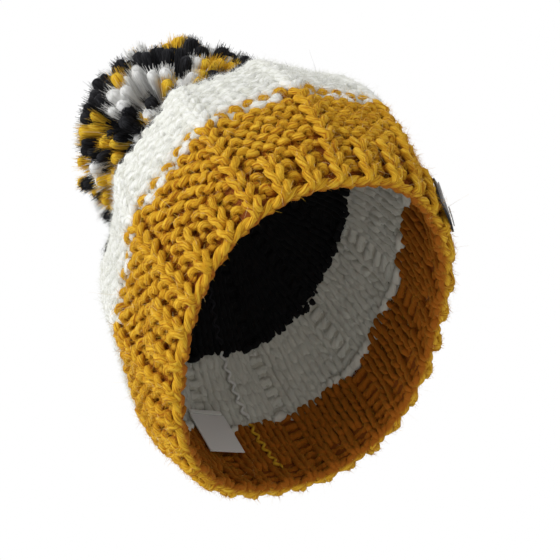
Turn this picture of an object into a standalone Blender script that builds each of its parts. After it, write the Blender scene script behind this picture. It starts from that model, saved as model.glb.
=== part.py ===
"""A chunky knit beanie with a pompom, built from closed solids in metres.

+Z points to the crown, -Y to the front and +X to the wearer's left. The rim rests on z = 0, and the origin
is under the middle of the whole hat. The knit is four shells that follow one surface, knit_point(turn, rise):
turn is the angle round the hat from +X, and rise runs from 0 at the rim to 1 at the middle of the crown.
"""

import math

import bmesh
import bpy
from mathutils import Vector

# The hat's outside, over the tops of the ribs
RIM_HALF_LENGTH = 0.107
RIM_HALF_WIDTH = 0.082
RIM_SQUARENESS = 2.3
HAT_HEIGHT = 0.1706
FULLNESS = 0.282
CROWN_POWER = 0.595
HEIGHT_POWER = 1.209
CROWN_LEAN = (0.0, -0.01)
LEAN_POWER = 0.85
RIM_CENTRE = (0.0, 0.0058)

# The knit
RIB_COUNT = 11
FIRST_RIB_TURN = math.radians(-90)
RIB_PROUD = 0.004
RIB_SHARPNESS = 3
KNIT_THICKNESS = 0.006
SEGMENTS_PER_RIB = 6
BAND_GAP = 0.0025
SOLID_GAP = 0.0005

# Where each band ends, as a share of the rise
RIM_RIB_END = 0.13
MUSTARD_END = 0.304
CREAM_END = 0.5536
CROWN_HOLE_RADIUS = 0.005

# Yarn pieces on the crown and inside
GATHER_RING_RADIUS = 0.0085
GATHER_YARN_RADIUS = 0.0012
SEAM_TURN = math.radians(90)
SEAM_YARN_RADIUS = 0.0012
SEAM_END_GAP = 0.012
SEAM_STANDOFF = 0.0012
SEAM_TOP_RADIUS = 0.035
ANCHOR_KNOT_RADIUS = 0.008
ANCHOR_KNOT_HEIGHT = 0.009
CORD_RADIUS = 0.0025
CORD_LENGTH = 0.008
KNOT_RADIUS = 0.004
PIVOT_CLEARANCE = 0.0007

# Side label and its stitches
SIDE_LABEL_TURN = math.radians(-40)
SIDE_LABEL_RISE = 0.078
SIDE_LABEL_SPAN = 0.026
SIDE_LABEL_HEIGHT = 0.016
SIDE_LABEL_THICKNESS = 0.0012
SIDE_LABEL_STANDOFF = 0.0012
LABEL_STITCH_INSET = 0.003
LABEL_STITCH_WIDTH = 0.0012
LABEL_STITCH_THICKNESS = 0.0006

# Care label, hanging inside beside the back seam
CARE_LABEL_TURN = math.radians(108)
CARE_LABEL_HINGE_Z = 0.075
CARE_LABEL_STANDOFF = 0.004
CARE_LABEL_SIZE = (0.024, 0.0008, 0.034)
CARE_STITCH_SIZE = (0.022, 0.0014, 0.003)

# Pompom
POMPOM_HALF_WIDTH = 0.076
POMPOM_HALF_HEIGHT = 0.062
POMPOM_LIFT = 0.043
BINDING_RADIUS = 0.014
BINDING_HALF_HEIGHT = 0.010
TUFT_START = 0.018
TUFT_HALF_ANGLE = math.radians(13.5)
TUFT_SIDES = 8
TUFT_RINGS = ((-28, 9), (0, 11), (30, 10), (60, 5), (90, 1))
CROWN_KEEP_OUT = math.radians(18)
CROWN_KEEP_GAP = 0.003

MATERIALS = {
    "mustard_yarn": ((0.40, 0.18, 0.015), 0.9),
    "cream_yarn": ((0.72, 0.69, 0.62), 0.9),
    "black_yarn": ((0.006, 0.006, 0.007), 0.9),
    "label_cloth": ((0.012, 0.012, 0.014), 0.6),
    "label_thread": ((0.45, 0.44, 0.42), 0.6),
    "care_label_satin": ((0.78, 0.77, 0.74), 0.45),
}


def clear_scene():
    for old in list(bpy.data.objects):
        bpy.data.objects.remove(old)


def make_materials():
    for name, (colour, roughness) in MATERIALS.items():
        material = bpy.data.materials.new(name)
        material.use_nodes = True
        shader = material.node_tree.nodes["Principled BSDF"]
        shader.inputs["Base Color"].default_value = (*colour, 1.0)
        shader.inputs["Roughness"].default_value = roughness
        shader.inputs["Metallic"].default_value = 0.0


def pivot(name, location, parent=None):
    """An empty that pieces hang on, such as a joint's centre."""
    empty = bpy.data.objects.new(name, None)
    empty.location = location
    empty.parent = parent
    bpy.context.scene.collection.objects.link(empty)
    return empty


def piece(name, mesh, material, parent, location=(0, 0, 0), smooth=True):
    """One solid as one named object, placed in its parent's space."""
    mesh.materials.clear()
    mesh.materials.append(bpy.data.materials[material])
    if smooth:
        mesh.shade_smooth()
    else:
        mesh.shade_flat()
    made = bpy.data.objects.new(name, mesh)
    made.location = location
    made.parent = parent
    bpy.context.scene.collection.objects.link(made)
    return made


def tube_mesh(name, sections):
    """A closed ring of closed sections, such as a shell round the hat."""
    bm = bmesh.new()
    rings = [[bm.verts.new(point) for point in section] for section in sections]
    count = len(rings)
    width = len(rings[0])
    for i in range(count):
        here = rings[i]
        after = rings[(i + 1) % count]
        for j in range(width):
            k = (j + 1) % width
            bm.faces.new((here[j], after[j], after[k], here[k]))
    return finished(bm, name)


def capped_mesh(name, sections):
    """A closed solid from a row of closed sections with a flat cap at each end."""
    bm = bmesh.new()
    rings = [[bm.verts.new(point) for point in section] for section in sections]
    width = len(rings[0])
    for here, after in zip(rings, rings[1:]):
        for j in range(width):
            k = (j + 1) % width
            bm.faces.new((here[j], here[k], after[k], after[j]))
    bm.faces.new(list(reversed(rings[0])))
    bm.faces.new(rings[-1])
    return finished(bm, name)


def finished(bm, name):
    """Turns the faces outwards and returns the mesh."""
    bmesh.ops.recalc_face_normals(bm, faces=bm.faces)
    mesh = bpy.data.meshes.new(name)
    bm.to_mesh(mesh)
    bm.free()
    return mesh


def turned_mesh(name, profile, sides):
    """A solid turned about Z from (radius, height) points, bottom to top, with flat ends."""
    sections = []
    for radius, height in profile:
        angles = [2 * math.pi * i / sides for i in range(sides)]
        sections.append([(radius * math.cos(a), radius * math.sin(a), height) for a in angles])
    return capped_mesh(name, sections)


def box_mesh(name, size):
    """A box that hangs down from its top edge, centred in X and Y."""
    x, y, z = size[0] / 2, size[1] / 2, size[2]
    corners = [(-x, -y), (x, -y), (x, y), (-x, y)]
    return capped_mesh(name, [[(a, b, -z) for a, b in corners], [(a, b, 0) for a, b in corners]])


def knit_point(turn, rise, sink=0.0):
    """A point of the hat's outer surface, in the rim centre's space. sink is its depth under the rib tops."""
    climb = rise * math.pi / 2
    share = math.sin(climb) ** HEIGHT_POWER
    spread = math.cos(climb) ** CROWN_POWER * (1 + FULLNESS * math.sin(2 * climb))
    c, s = math.cos(turn), math.sin(turn)
    corner = (abs(c) ** RIM_SQUARENESS + abs(s) ** RIM_SQUARENESS) ** (-1 / RIM_SQUARENESS)
    x = (RIM_HALF_WIDTH - sink) * spread * corner * c + CROWN_LEAN[0] * share**LEAN_POWER
    y = (RIM_HALF_LENGTH - sink) * spread * corner * s + CROWN_LEAN[1] * share**LEAN_POWER
    return Vector((x, y, HAT_HEIGHT * share))


def knit_normal(turn, rise):
    """The surface's outward direction. It is level at the rim, so that the rim's underside is flat."""
    step = 1e-4
    rise = min(max(rise, step), 1 - 2 * step)
    along = knit_point(turn + step, rise) - knit_point(turn, rise)
    up = knit_point(turn, rise + step) - knit_point(turn, rise)
    return along.cross(up).normalized()


def rib_wave(turn):
    """1 on a rib and 0 between two ribs."""
    return ((1 + math.cos(RIB_COUNT * (turn - FIRST_RIB_TURN))) / 2) ** RIB_SHARPNESS


def outer_point(turn, rise):
    """The solid's outer face: rib tops on the surface, and panels sunk between them."""
    sink = RIB_PROUD * (1 - rib_wave(turn))
    return knit_point(turn, rise, sink)


def inner_point(turn, rise):
    """The solid's inner face, under the rib tops by the ribs' height and the knit's thickness."""
    depth = RIB_PROUD + KNIT_THICKNESS
    point = knit_point(turn, rise)
    if rise == 0:
        return knit_point(turn, rise, depth)
    return point - knit_normal(turn, rise) * depth


def rise_at_radius(radius):
    """The rise at which the surface has closed in to this radius."""
    low, high = 0.8, 1.0
    for _ in range(40):
        middle = (low + high) / 2
        point = knit_point(0, middle) - Vector((CROWN_LEAN[0], CROWN_LEAN[1], 0))
        if point.x > radius:
            low = middle
        else:
            high = middle
    return low


def rise_step(rise, distance):
    """The rise that lies this far along the surface above the given one, measured at the front."""
    step = 1e-3
    length = (knit_point(-math.pi / 2, rise + step) - knit_point(-math.pi / 2, rise)).length
    return rise + distance * step / length


def knit_band(name, low, high, rows, material, parent):
    """A closed shell of knit between two rises."""
    rises = [low + (high - low) * i / rows for i in range(rows + 1)]
    segments = RIB_COUNT * SEGMENTS_PER_RIB
    sections = []
    for i in range(segments):
        turn = FIRST_RIB_TURN + 2 * math.pi * i / segments
        outer = [outer_point(turn, rise) for rise in rises]
        inner = [inner_point(turn, rise) for rise in reversed(rises)]
        sections.append(outer + inner)
    return piece(name, tube_mesh(name, sections), material, parent)


def knit_shells(hat):
    top = rise_at_radius(CROWN_HOLE_RADIUS)
    knit_band("brim_rib", 0.0, RIM_RIB_END, 2, "mustard_yarn", hat)
    knit_band("mustard_body", rise_step(RIM_RIB_END, BAND_GAP), MUSTARD_END, 3, "mustard_yarn", hat)
    knit_band("cream_band", rise_step(MUSTARD_END, BAND_GAP), CREAM_END, 3, "cream_yarn", hat)
    knit_band("black_crown", rise_step(CREAM_END, BAND_GAP), top, 5, "black_yarn", hat)


def seam_length(name, low, high, material, parent):
    """A run of seam yarn that lies on the hat's inner face at the back."""
    stations = 7
    offset = SEAM_YARN_RADIUS + SEAM_STANDOFF
    sections = []
    for i in range(stations):
        rise = low + (high - low) * i / (stations - 1)
        normal = knit_normal(SEAM_TURN, rise)
        across = Vector((0, 0, 1)).cross(normal).normalized()
        centre = inner_point(SEAM_TURN, rise) - normal * offset
        ring = []
        for k in range(6):
            angle = math.pi / 3 * k
            ring.append(centre + (normal * math.cos(angle) + across * math.sin(angle)) * SEAM_YARN_RADIUS)
        sections.append(ring)
    return piece(name, capped_mesh(name, sections), material, parent)


def back_seam(hat):
    mustard_low = rise_step(0.0, SEAM_END_GAP)
    seam_length("back_seam_mustard", mustard_low, MUSTARD_END, "mustard_yarn", hat)
    cream_low = rise_step(MUSTARD_END, 2 * BAND_GAP)
    seam_length("back_seam_cream", cream_low, CREAM_END, "cream_yarn", hat)
    black_low = rise_step(CREAM_END, 2 * BAND_GAP)
    seam_length("back_seam_black", black_low, rise_at_radius(SEAM_TOP_RADIUS), "black_yarn", hat)


def surface_patch(name, turns, rises, standoff, thickness, material, parent):
    """A thin closed patch that follows the panel's surface, lifted off it by standoff."""
    sections = []
    for turn in turns:
        outer = []
        inner = []
        for rise in rises:
            base = knit_point(turn, rise, RIB_PROUD)
            normal = knit_normal(turn, rise)
            inner.append(base + normal * standoff)
            outer.append(base + normal * (standoff + thickness))
        sections.append(outer + list(reversed(inner)))
    return piece(name, capped_mesh(name, sections), material, parent, smooth=False)


def spread_values(middle, span, count):
    return [middle + span * (i / (count - 1) - 0.5) for i in range(count)]


def side_label(hat):
    """A cloth label on a panel at the side, with a row of stitches at each end."""
    here = knit_point(SIDE_LABEL_TURN, SIDE_LABEL_RISE)
    beside = knit_point(SIDE_LABEL_TURN + 0.01, SIDE_LABEL_RISE)
    turn_per_metre = 0.01 / (beside - here).length
    rise_per_metre = rise_step(SIDE_LABEL_RISE, 1.0) - SIDE_LABEL_RISE
    turn_span = SIDE_LABEL_SPAN * turn_per_metre
    rise_span = SIDE_LABEL_HEIGHT * rise_per_metre
    turns = spread_values(SIDE_LABEL_TURN, turn_span, 7)
    rises = spread_values(SIDE_LABEL_RISE, rise_span, 3)
    surface_patch(
        "side_label", turns, rises, SIDE_LABEL_STANDOFF, SIDE_LABEL_THICKNESS, "label_cloth", hat
    )
    stitch_standoff = SIDE_LABEL_STANDOFF + SIDE_LABEL_THICKNESS + SOLID_GAP
    stitch_rises = spread_values(SIDE_LABEL_RISE, rise_span * 0.8, 3)
    reach = turn_span / 2 - LABEL_STITCH_INSET * turn_per_metre
    for name, side in (("side_label_stitches_front", -1), ("side_label_stitches_back", 1)):
        middle = SIDE_LABEL_TURN + side * reach
        stitch_turns = spread_values(middle, LABEL_STITCH_WIDTH * turn_per_metre, 2)
        surface_patch(
            name, stitch_turns, stitch_rises, stitch_standoff, LABEL_STITCH_THICKNESS, "label_thread", hat
        )


def rise_at_height(height):
    """The rise at which the surface is this high."""
    return math.asin((height / HAT_HEIGHT) ** (1 / HEIGHT_POWER)) * 2 / math.pi


def care_label(hat):
    """A blank satin label. It hangs from its sewn top edge, which is the flap's hinge."""
    rise = rise_at_height(CARE_LABEL_HINGE_Z)
    outward = Vector((math.cos(CARE_LABEL_TURN), math.sin(CARE_LABEL_TURN), 0))
    wall = inner_point(CARE_LABEL_TURN, rise)
    hinge_place = Vector((wall.x, wall.y, CARE_LABEL_HINGE_Z)) - outward * CARE_LABEL_STANDOFF
    hinge = pivot("care_label_hinge", hinge_place, hat)
    hinge.rotation_euler.z = CARE_LABEL_TURN - math.pi / 2
    piece(
        "care_label", box_mesh("care_label", CARE_LABEL_SIZE), "care_label_satin", hinge, smooth=False
    )
    above = CARE_STITCH_SIZE[2] + 2 * SOLID_GAP
    piece(
        "care_label_stitches",
        box_mesh("care_label_stitches", CARE_STITCH_SIZE),
        "cream_yarn",
        hinge,
        (0, 0, above),
        smooth=False,
    )


def crown_yarns(crown):
    """The ring that gathers the last stitches, and the knot that anchors the pompom's cord inside."""
    above = KNIT_THICKNESS / 2 + RIB_PROUD + GATHER_YARN_RADIUS
    sections = []
    for i in range(16):
        angle = math.pi * i / 8
        outward = Vector((math.cos(angle), math.sin(angle), 0))
        ring = []
        for k in range(6):
            a = math.pi * k / 3
            radius = GATHER_RING_RADIUS + GATHER_YARN_RADIUS * math.cos(a)
            ring.append(outward * radius + Vector((0, 0, above + GATHER_YARN_RADIUS * math.sin(a))))
        sections.append(ring)
    piece("crown_gather_yarn", tube_mesh("crown_gather_yarn", sections), "black_yarn", crown)
    top = -(KNIT_THICKNESS + RIB_PROUD) / 2 - SOLID_GAP
    profile = dome_profile(ANCHOR_KNOT_RADIUS, ANCHOR_KNOT_HEIGHT / 2, 7)
    knot = turned_mesh("pom_anchor_knot", profile, 14)
    piece("pom_anchor_knot", knot, "black_yarn", crown, (0, 0, top - ANCHOR_KNOT_HEIGHT / 2))


def dome_profile(radius, half_height, points):
    """The (radius, height) points of a ball or a flattened ball, with small flats at its poles."""
    profile = []
    for i in range(points):
        angle = math.radians(-80 + 160 * i / (points - 1))
        flat = half_height / math.sin(math.radians(80))
        profile.append((radius * math.cos(angle), flat * math.sin(angle)))
    return profile


def cord(cord_pivot):
    """The short cord through the crown's hole. Its ends are balls round the two pivots."""
    profile = []
    for i in range(4):
        angle = math.radians(-75 + 25 * i)
        profile.append((CORD_RADIUS * math.cos(angle), CORD_RADIUS * math.sin(angle)))
    for i in range(4):
        angle = math.radians(25 * i)
        profile.append((CORD_RADIUS * math.cos(angle), CORD_LENGTH + CORD_RADIUS * math.sin(angle)))
    piece("pom_cord", turned_mesh("pom_cord", profile, 12), "black_yarn", cord_pivot)


def cord_knot(knot_pivot):
    """The wrapped knot between the cord and the pompom's binding."""
    low = CORD_RADIUS + PIVOT_CLEARANCE
    high = POMPOM_LIFT - CORD_LENGTH - BINDING_HALF_HEIGHT - 2 * SOLID_GAP
    profile = [
        (KNOT_RADIUS * 0.75, low),
        (KNOT_RADIUS, low + 0.002),
        (KNOT_RADIUS, high - 0.002),
        (KNOT_RADIUS * 0.75, high),
    ]
    piece("pom_cord_knot", turned_mesh("pom_cord_knot", profile, 12), "black_yarn", knot_pivot)


def tuft_length(elevation):
    """How far a tuft at this elevation reaches: to the pompom's outline, or short of the crown below it."""
    c, s = math.cos(elevation), math.sin(elevation)
    outline = 1 / math.hypot(c / POMPOM_HALF_WIDTH, s / POMPOM_HALF_HEIGHT)
    lower_edge = TUFT_HALF_ANGLE - elevation
    if lower_edge <= 0:
        return outline
    drop = math.sin(lower_edge) + math.tan(CROWN_KEEP_OUT) * math.cos(lower_edge)
    return min(outline, (POMPOM_LIFT - CROWN_KEEP_GAP) * math.cos(TUFT_HALF_ANGLE) / drop)


def tuft_mesh(name, length):
    """A bundle of cut yarn: a cone from the binding that ends in a rounded head."""
    widest = length * 0.88 * math.tan(TUFT_HALF_ANGLE)
    profile = [
        (TUFT_START * math.tan(TUFT_HALF_ANGLE), TUFT_START),
        (widest, length * 0.88),
        (widest * 0.8, length * 0.96),
        (widest * 0.4, length),
    ]
    return turned_mesh(name, profile, TUFT_SIDES)


def pompom(centre):
    """The binding and the tufts round it, in rings, with the colours in turn."""
    binding = turned_mesh("pom_binding", dome_profile(BINDING_RADIUS, BINDING_HALF_HEIGHT, 7), 16)
    piece("pom_binding", binding, "black_yarn", centre)
    colours = ("black", "mustard", "cream")
    made = {colour: 0 for colour in colours}
    index = 0
    for ring, (degrees, count) in enumerate(TUFT_RINGS):
        elevation = math.radians(degrees)
        mesh_name = f"tuft_ring_{ring}"
        for i in range(count):
            azimuth = 2 * math.pi * (i + 0.5 * ring) / count
            flat = math.cos(elevation)
            direction = Vector((flat * math.cos(azimuth), flat * math.sin(azimuth), math.sin(elevation)))
            colour = colours[(index + ring) % 3]
            index += 1
            made[colour] += 1
            name = f"pom_tuft_{colour}_{made[colour]:02d}"
            tuft = piece(name, tuft_mesh(mesh_name, tuft_length(elevation)), f"{colour}_yarn", centre)
            tuft.rotation_mode = "QUATERNION"
            tuft.rotation_quaternion = direction.to_track_quat("Z", "Y")


def build_hat():
    clear_scene()
    make_materials()
    hat = pivot("hat", (*RIM_CENTRE, 0))
    middle_of_knit = HAT_HEIGHT - (KNIT_THICKNESS + RIB_PROUD) / 2
    knit_shells(hat)
    back_seam(hat)
    side_label(hat)
    care_label(hat)
    crown = pivot("crown_middle", (*CROWN_LEAN, middle_of_knit), hat)
    crown_yarns(crown)
    cord_pivot = pivot("cord_pivot", (0, 0, 0), crown)
    cord(cord_pivot)
    knot_pivot = pivot("knot_pivot", (0, 0, CORD_LENGTH), cord_pivot)
    cord_knot(knot_pivot)
    pompom_centre = pivot("pompom_centre", (0, 0, POMPOM_LIFT - CORD_LENGTH), knot_pivot)
    pompom(pompom_centre)
    bpy.context.view_layer.update()


build_hat()
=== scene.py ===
"""The looks of a chunky knit beanie: yarn loops, brushed fibres and a cut yarn pompom, round its CAD frame.

Every course of knitting is one closed yarn curve laid on the hat's surface. A stitch's loop bulges outwards
at its legs when it is knit, and at its head and feet when it is purl. Lengths are in metres.
"""

import math
from collections import namedtuple

import bpy
import numpy as np
from mathutils import Matrix, Vector


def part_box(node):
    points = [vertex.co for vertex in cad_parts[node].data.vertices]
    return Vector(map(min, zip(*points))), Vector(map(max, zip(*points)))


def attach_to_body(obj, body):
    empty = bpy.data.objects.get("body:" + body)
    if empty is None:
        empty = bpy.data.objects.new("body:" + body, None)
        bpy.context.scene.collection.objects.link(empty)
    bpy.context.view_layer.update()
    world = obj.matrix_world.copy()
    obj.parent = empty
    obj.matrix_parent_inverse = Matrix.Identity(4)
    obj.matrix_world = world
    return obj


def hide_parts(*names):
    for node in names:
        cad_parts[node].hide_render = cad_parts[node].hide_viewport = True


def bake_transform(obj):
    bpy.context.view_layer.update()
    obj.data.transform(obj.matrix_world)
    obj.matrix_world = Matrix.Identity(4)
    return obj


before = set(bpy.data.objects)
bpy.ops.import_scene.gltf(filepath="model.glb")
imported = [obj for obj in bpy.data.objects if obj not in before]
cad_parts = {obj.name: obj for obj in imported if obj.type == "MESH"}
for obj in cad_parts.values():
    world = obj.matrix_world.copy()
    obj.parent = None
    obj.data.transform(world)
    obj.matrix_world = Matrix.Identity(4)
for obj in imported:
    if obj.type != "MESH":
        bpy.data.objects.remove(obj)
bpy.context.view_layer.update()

# The hat's shape, as in its CAD source
RIM_SQUARENESS = 2.3
FULLNESS = 0.282
CROWN_POWER = 0.595
HEIGHT_POWER = 1.209
LEAN_POWER = 0.85
RIB_COUNT = 11
FIRST_RIB_TURN = math.radians(-90)
RIB_PROUD = 0.004
RIB_SHARPNESS = 3

# The knitting
STITCHES_PER_RIB = 6
ROW_HEIGHT = 0.0082
RIM_ROWS = 3
YARN_RADIUS = 0.0020
KNIT_SWELL = 1.06
KNIT_LIFT = 0.0003
PURL_WIDTH = 0.145
KNIT_WIDTH = 0.29
RIM_KNIT_WIDTH = 0.22
PURL_HEIGHT = 0.74
KNIT_HEIGHT = 0.53
LOOP_DEPTH = 0.0019
UNEVENNESS = 0.08
BORDER_UNEVENNESS = 0.22
BORDER_SUNK_FEET = 0.5
SINK_DEPTH = 0.0042
LOOP_SLANT = -0.07
FLAT_LOOP = 0.65
SAMPLES_PER_STITCH = 22
BLACK_SAMPLES = 15
YARN_SIDES = 8
TWIST_LENGTH = 0.030
WIDTH_UNEVENNESS = 0.10
NUDGE = 0.0004
DRIFT = 0.05
RIM_SINK = 0.55
RIM_RELIEF = 0.0013
CREAM_YARN_RADIUS = 0.0029
CREAM_LOOP_DEPTH = 0.0007
LAST_COURSE_GAP = 0.014
CROWN_HOLE = 0.006

# The matted fibres behind the loops: a sheet whose darker colour is painted shade in the gaps
CORE_DEPTH = 0.0056
CORE_RIB_SHARE = 0.8
CORE_COLUMNS = 176
CORE_ROW_HEIGHT = 0.006
CORE_SHADE = -2.0

# The two yarns of the cast-on edge
EDGE_YARN_RADIUS = 0.0019
EDGE_TWIST_RADIUS = 0.0014
EDGE_HEIGHT = 0.0048
EDGE_DEPTH = 0.0068
EDGE_SAMPLES = 24
EDGE_WANDER = 0.9

# Fuzz, and the longer stray hairs
HAIR_LIMIT = 0.004
FUZZ_PER_STITCH = {"mustard": 120, "cream": 170, "black": 120}
FUZZ_LENGTHS = (0.002, 0.0042)
FUZZ_WIDTH = 0.000168
STRAYS_PER_STITCH = 1.8
STRAY_LENGTHS = (0.003, 0.0080)
STRAY_WIDTH = 0.000144
STRAY_SEGMENTS = 4

# Where the crown loses one stitch per rib, as shares of the rise
DECREASE_RISES = (0.68, 0.77, 0.84, 0.90, 0.955)

# The camera, round the rim's centre
CAMERA_YAW = math.radians(-35.04)
CAMERA_PITCH = math.radians(-45.88)
CAMERA_ROLL = math.radians(-35.82)
CAMERA_DISTANCE = 0.727
CAMERA_SHIFT = (-0.0208, 0.0400)
CAMERA_LENS = 87.0

# Light. A lamp is its place from LIGHT_TARGET, its disc's size and its power. The places of the camera's
# lamps are along its backward, right and up directions.
AMBIENT_LIGHT = 0.62
BACKDROP_LIGHT = 1.0
LIGHT_TARGET = (0, 0, 0.09)
CAMERA_LAMPS = {"key": ((0.8, -1.0, 0.7), 0.5, 9), "fill": ((0.7, -1.1, -0.4), 0.8, 4)}
TOP_LAMP = ((0.3, -0.3, 1.21), 0.8, 6)
FLOOR_HALF = 3.0
FLOOR_HEIGHT = -0.0005
FLOOR_FADE = (0.5, 1.6)
FLOOR_COLOUR = (0.82, 0.82, 0.82)

# Pompom
STRAND_COUNT = 600
STRAND_START = 0.012
STRAND_RADIUS = 0.0041
STRAND_PLACES = (0.0, 0.2, 0.4, 0.58, 0.74, 0.86, 0.94, 0.985, 1.0)
STRAND_SIDES = 9
STRAND_SWAY = 0.0060
STRAND_LANDING = 0.006
STRAND_SWELL = ((0, 0.35, 0.8, 0.94, 0.985, 1.0), (0.35, 0.65, 1.0, 1.0, 0.72, 0.08))
LOWEST_STRAND = -0.60
CORE_SHARE = 0.85
# The lift from a strand's root to its end, which paints shade on the pompom's inside
STRAND_SHADES = (-2.2, 1.0)
FIBRES_PER_STRAND = 75
FIBRE_STARTS = (0.30, 0.85)
FIBRE_ENDS = (0.93, 1.0)
FIBRE_DEPTHS = (0.55, 1.08)
FIBRE_OVERSHOOT = 0.0032
FIBRE_FAN = ((0, 0.35, 0.8, 1.0), (0.35, 0.65, 1.0, 1.1))
FIBRE_SEGMENTS = 3
FIBRE_WIDTH = 0.0006
CROWN_CLEARANCE = 0.0065

# Small yarns and labels
CORD_YARN_RADIUS = 0.0013
CORD_TWIST = 0.009
CORD_TUCK = 0.004
SEAM_YARN_RADIUS = 0.0010
SEAM_SWING = 0.0012
SEAM_STEPS = 10
SEAM_SAMPLES = 160
LABEL_COLOUR = (0.014, 0.014, 0.016)
LABEL_THREAD_COLOUR = (0.50, 0.49, 0.47)
LABEL_LIFT = 0.0023
SATIN_COLOUR = (0.82, 0.81, 0.78)

# Yarns wound in place of CAD nodes: name, node, (turns, waves, depth) of the winding, yarn radius, body
WOUND_YARNS = (
    ("gather_yarn", "crown_gather_yarn", (1, 11, 0.08), 0.0010, "crown"),
    ("anchor_knot_yarn", "pom_anchor_knot", (2, 3, 0.38), 0.0024, "crown"),
    ("cord_knot_yarn", "pom_cord_knot", (5, 4, 0.25), 0.0014, "cord_knot"),
    ("binding_yarn", "pom_binding", (5, 3, 0.25), 0.0028, "pompom"),
)

# band: (colour, CAD node)
BANDS = {
    "brim": ("mustard", "brim_rib"),
    "mustard": ("mustard", "mustard_body"),
    "cream": ("cream", "cream_band"),
    "black": ("black", "black_crown"),
}

# colour: (dark, middle, bright) tones, all linear; the dark one is dark fibre streaks and painted shade
YARN_COLOURS = {
    "mustard": ((0.36, 0.100, 0.003), (0.66, 0.345, 0.011), (0.84, 0.520, 0.040)),
    "cream": ((0.66, 0.66, 0.58), (0.84, 0.845, 0.79), (0.93, 0.93, 0.91)),
    "black": ((0.003, 0.003, 0.0035), (0.007, 0.007, 0.009), (0.03, 0.03, 0.034)),
}
# Pompom tones in the same order; the dark one also paints shade towards the pompom's inside
POMPOM_COLOURS = {
    "mustard": ((0.45, 0.19, 0.004), (0.80, 0.49, 0.020), (0.96, 0.68, 0.075)),
    "cream": ((0.66, 0.66, 0.64), (0.90, 0.90, 0.88), (0.96, 0.96, 0.95)),
    "black": ((0.003, 0.003, 0.0035), (0.008, 0.008, 0.010), (0.035, 0.035, 0.040)),
}
# Colours of the sheet behind the loops: each yarn's colour darkened as painted shade in the gaps
SHADED_CORE_COLOURS = {
    "mustard": (0.22, 0.055, 0.002),
    "cream": (0.55, 0.54, 0.46),
    "black": (0.002, 0.002, 0.002),
}
HAIR_COLOURS = {
    "mustard": (0.84, 0.66, 0.34),
    "cream": (0.92, 0.91, 0.87),
    "black": (0.02, 0.019, 0.02),
}

# How a course is knitted
Style = namedtuple("Style", "radius loop_depth uneven sunk_feet samples")


def node_points(name):
    return np.array([vertex.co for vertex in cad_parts[name].data.vertices])


class Rim:
    """The rim's centre and half sizes, read from the flat underside of the CAD brim."""

    def __init__(self):
        points = node_points("brim_rib")
        close = 1e-4
        ring = points[points[:, 2] < close]
        middle = np.unique(np.round(ring[np.abs(ring[:, 0]) < close][:, 1], 5))
        self.centre = (middle[1] + middle[2]) / 2
        self.half_length = self.centre - middle[0]
        depth = middle[1] - middle[0]
        beside = ring[np.abs(ring[:, 1] - self.centre) < 0.01]
        self.half_width = np.abs(beside[:, 0]).min() + depth
        gather_low, gather_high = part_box("crown_gather_yarn")
        self.lean = (gather_low.y + gather_high.y) / 2 - self.centre
        self.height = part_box("black_crown")[1].z


RIM = Rim()


def unit(vectors):
    return vectors / np.maximum(np.linalg.norm(vectors, axis=-1, keepdims=True), 1e-12)


def surface(turn, rise):
    """Points of the hat's outer surface over the rib tops."""
    climb = np.clip(rise, 0.0, 1.0 - 1e-9) * np.pi / 2
    share = np.sin(climb) ** HEIGHT_POWER
    spread = np.cos(climb) ** CROWN_POWER * (1 + FULLNESS * np.sin(2 * climb))
    c, s = np.cos(turn), np.sin(turn)
    corner = (np.abs(c) ** RIM_SQUARENESS + np.abs(s) ** RIM_SQUARENESS) ** (-1 / RIM_SQUARENESS)
    x = RIM.half_width * spread * corner * c
    y = RIM.half_length * spread * corner * s + RIM.centre + RIM.lean * share**LEAN_POWER
    return np.stack(np.broadcast_arrays(x, y, RIM.height * share), axis=-1)


def surface_frame(turn, rise):
    """Points with unit vectors along a course, up the hat and outwards."""
    step = 1e-4
    rise = np.clip(rise, step, 1 - 2 * step)
    point = surface(turn, rise)
    along = unit(surface(turn + step, rise) - surface(turn - step, rise))
    up = unit(surface(turn, rise + step) - surface(turn, rise - step))
    out = unit(np.cross(along, up))
    return point, along, up, out


def rib_wave(turn):
    """1 on a rib and 0 between two ribs."""
    return ((1 + np.cos(RIB_COUNT * (turn - FIRST_RIB_TURN))) / 2) ** RIB_SHARPNESS


def length_table():
    """Rises, and the mean length of knitting from the rim up to each."""
    rises = np.linspace(0, 1, 1201)
    turns = np.linspace(0, 2 * np.pi, 24, endpoint=False)
    points = surface(turns[:, None], rises[None, :])
    steps = np.linalg.norm(np.diff(points, axis=1), axis=-1).mean(axis=0)
    return rises, np.concatenate([[0.0], np.cumsum(steps)])


RISES, LENGTHS = length_table()


def rise_at_length(length):
    return np.interp(length, LENGTHS, RISES)


def rise_at_height(height):
    return math.asin((height / RIM.height) ** (1 / HEIGHT_POWER)) * 2 / math.pi


MUSTARD_TOP = rise_at_height(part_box("mustard_body")[1].z)
CREAM_TOP = rise_at_height(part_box("cream_band")[1].z)


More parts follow.
